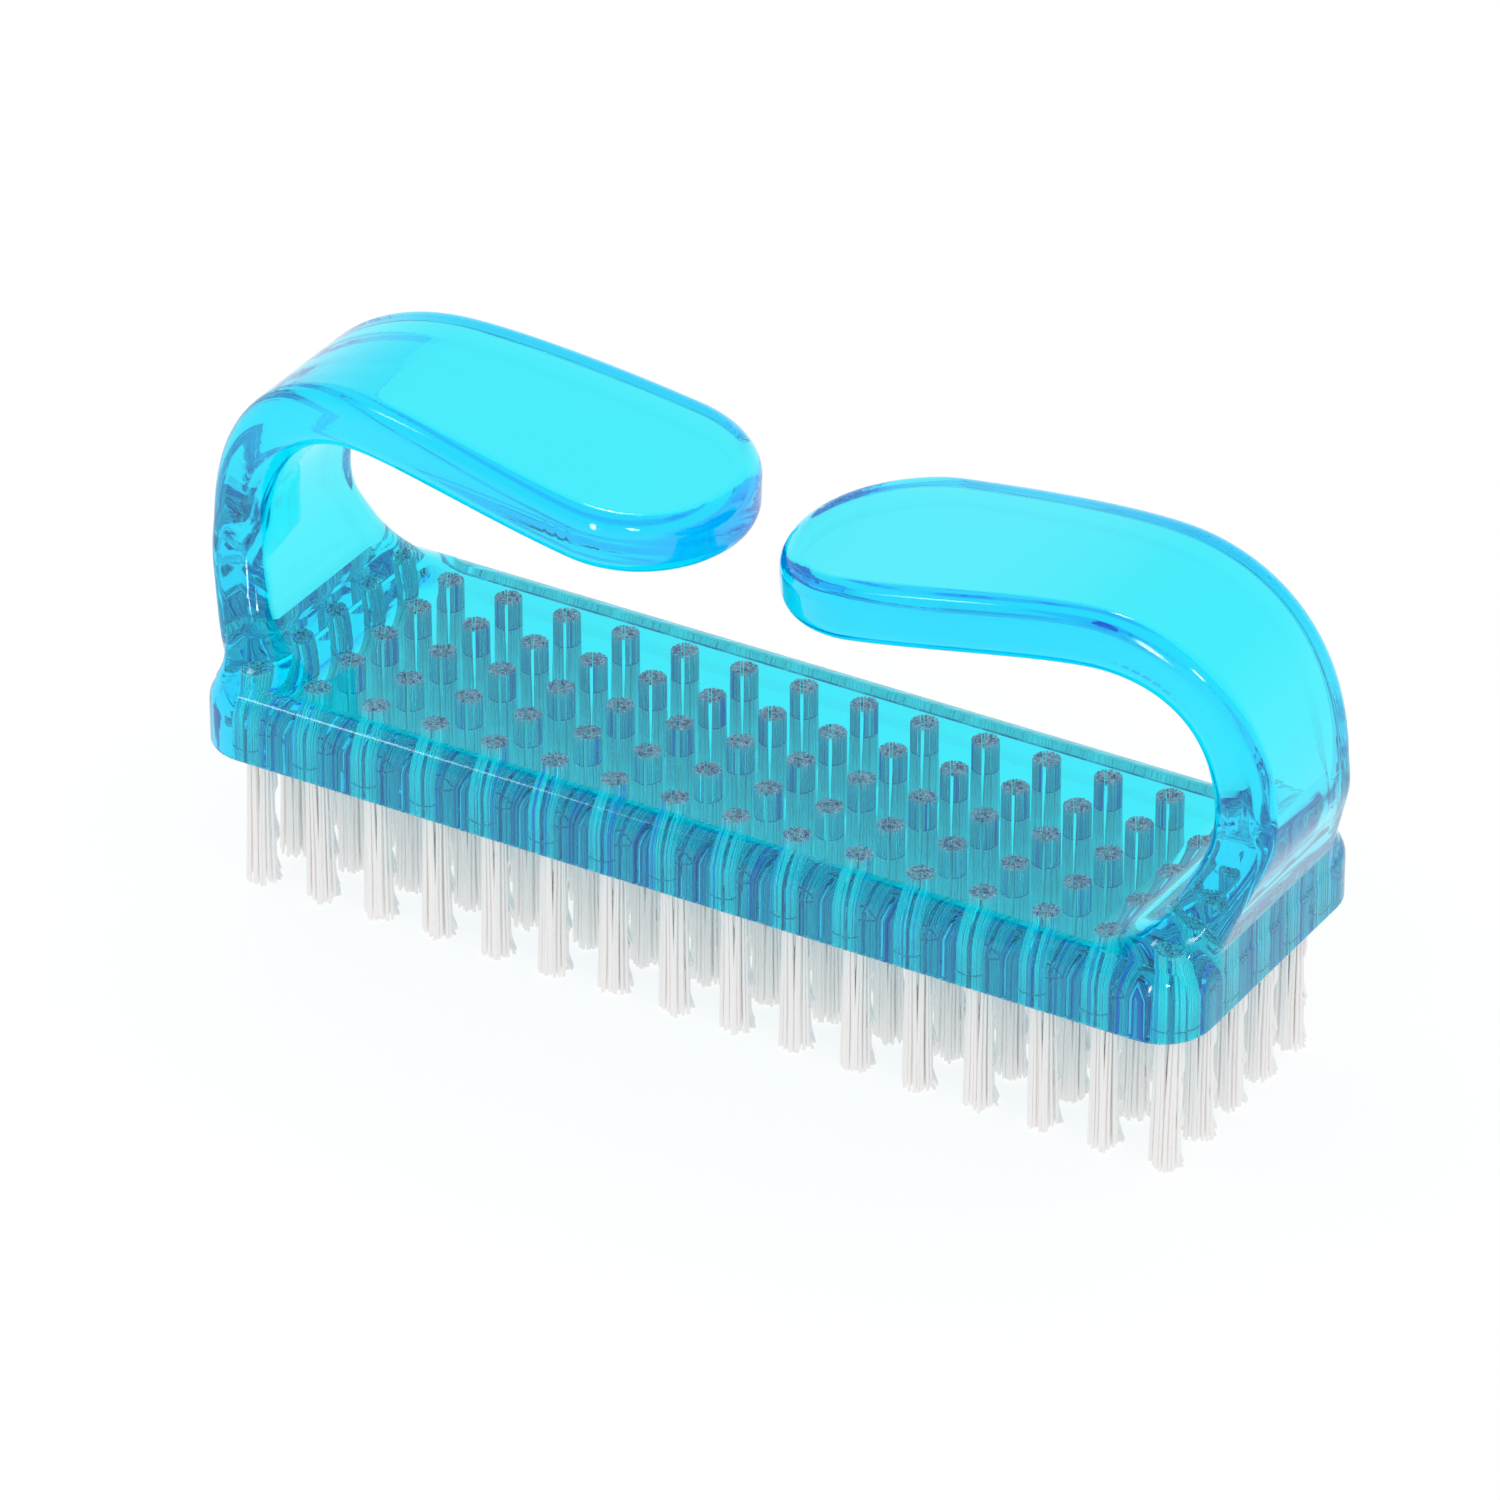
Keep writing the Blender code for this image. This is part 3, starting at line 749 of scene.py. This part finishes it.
def soften(data):
    """Fade a lamp towards its edges, so that its mirror image has no hard outline."""
    data.use_nodes = True
    nodes, links = data.node_tree.nodes, data.node_tree.links
    place = nodes.new("ShaderNodeNewGeometry")
    apart = nodes.new("ShaderNodeVectorMath")
    apart.operation = "DISTANCE"
    apart.inputs[1].default_value = LAMP_MIDDLE
    fade = nodes.new("ShaderNodeMapRange")
    fade.interpolation_type = "SMOOTHSTEP"
    fade.inputs["From Min"].default_value = LAMP_EDGE
    fade.inputs["From Max"].default_value = LAMP_CORE
    links.new(place.outputs["Parametric"], apart.inputs[0])
    links.new(apart.outputs["Value"], fade.inputs["Value"])
    links.new(fade.outputs["Result"], nodes["Emission"].inputs["Strength"])


def gleam_lamp(name, azimuth, elevation, width, height, power):
    """Hang a lamp that faces the brush. It gives the polished plastic its highlights only."""
    data = bpy.data.lights.new(name, "AREA")
    data.shape = "RECTANGLE"
    data.size = width
    data.size_y = height
    data.energy = power
    soften(data)
    lamp = bpy.data.objects.new(name, data)
    turn, rise = math.radians(azimuth), math.radians(elevation)
    lamp.location = Vector((math.sin(turn) * math.cos(rise), -math.cos(turn) * math.cos(rise),
                            math.sin(rise))) * LAMP_DISTANCE
    lamp.rotation_euler = (-lamp.location).to_track_quat("-Z", "Y").to_euler()
    lamp.visible_diffuse = False
    lamp.visible_transmission = False
    bpy.context.scene.collection.objects.link(lamp)


plain_floor()
white_world()
for lamp in LAMPS:
    gleam_lamp(*lamp)

# Camera: it stands in front of the brush, to the right and above, with a long lens. The aim
# is how far the brush's origin lies right of and below the picture's centre line.
VIEW_AZIMUTH = math.radians(30.62)
VIEW_ELEVATION = math.radians(30.84)
VIEW_DISTANCE = 0.85307
AIM_RIGHT = 0.00163
AIM_UP = -0.01684
LENS = 254.36
SENSOR = 36.0

back = Vector((math.sin(VIEW_AZIMUTH) * math.cos(VIEW_ELEVATION),
               -math.cos(VIEW_AZIMUTH) * math.cos(VIEW_ELEVATION),
               math.sin(VIEW_ELEVATION)))
right = Vector((math.cos(VIEW_AZIMUTH), math.sin(VIEW_AZIMUTH), 0))
up = back.cross(right)
camera = bpy.data.objects.new("camera", bpy.data.cameras.new("camera"))
camera.data.lens = LENS
camera.data.sensor_width = SENSOR
place = back * VIEW_DISTANCE - right * AIM_RIGHT - up * AIM_UP
camera.matrix_world = Matrix.Translation(place) @ Matrix((right, up, back)).transposed().to_4x4()
bpy.context.scene.collection.objects.link(camera)
bpy.context.scene.camera = camera
bpy.context.scene.view_settings.view_transform = "Standard"

# Light paths: light crosses many clear walls and bundles of filaments before it gets out of
# the base again, so it is followed for many bounces.
LIGHT_BOUNCES = 128
bpy.context.scene.cycles.max_bounces = LIGHT_BOUNCES
bpy.context.scene.cycles.transmission_bounces = LIGHT_BOUNCES
bpy.context.scene.cycles.glossy_bounces = LIGHT_BOUNCES
bpy.context.scene.cycles.diffuse_bounces = LIGHT_BOUNCES
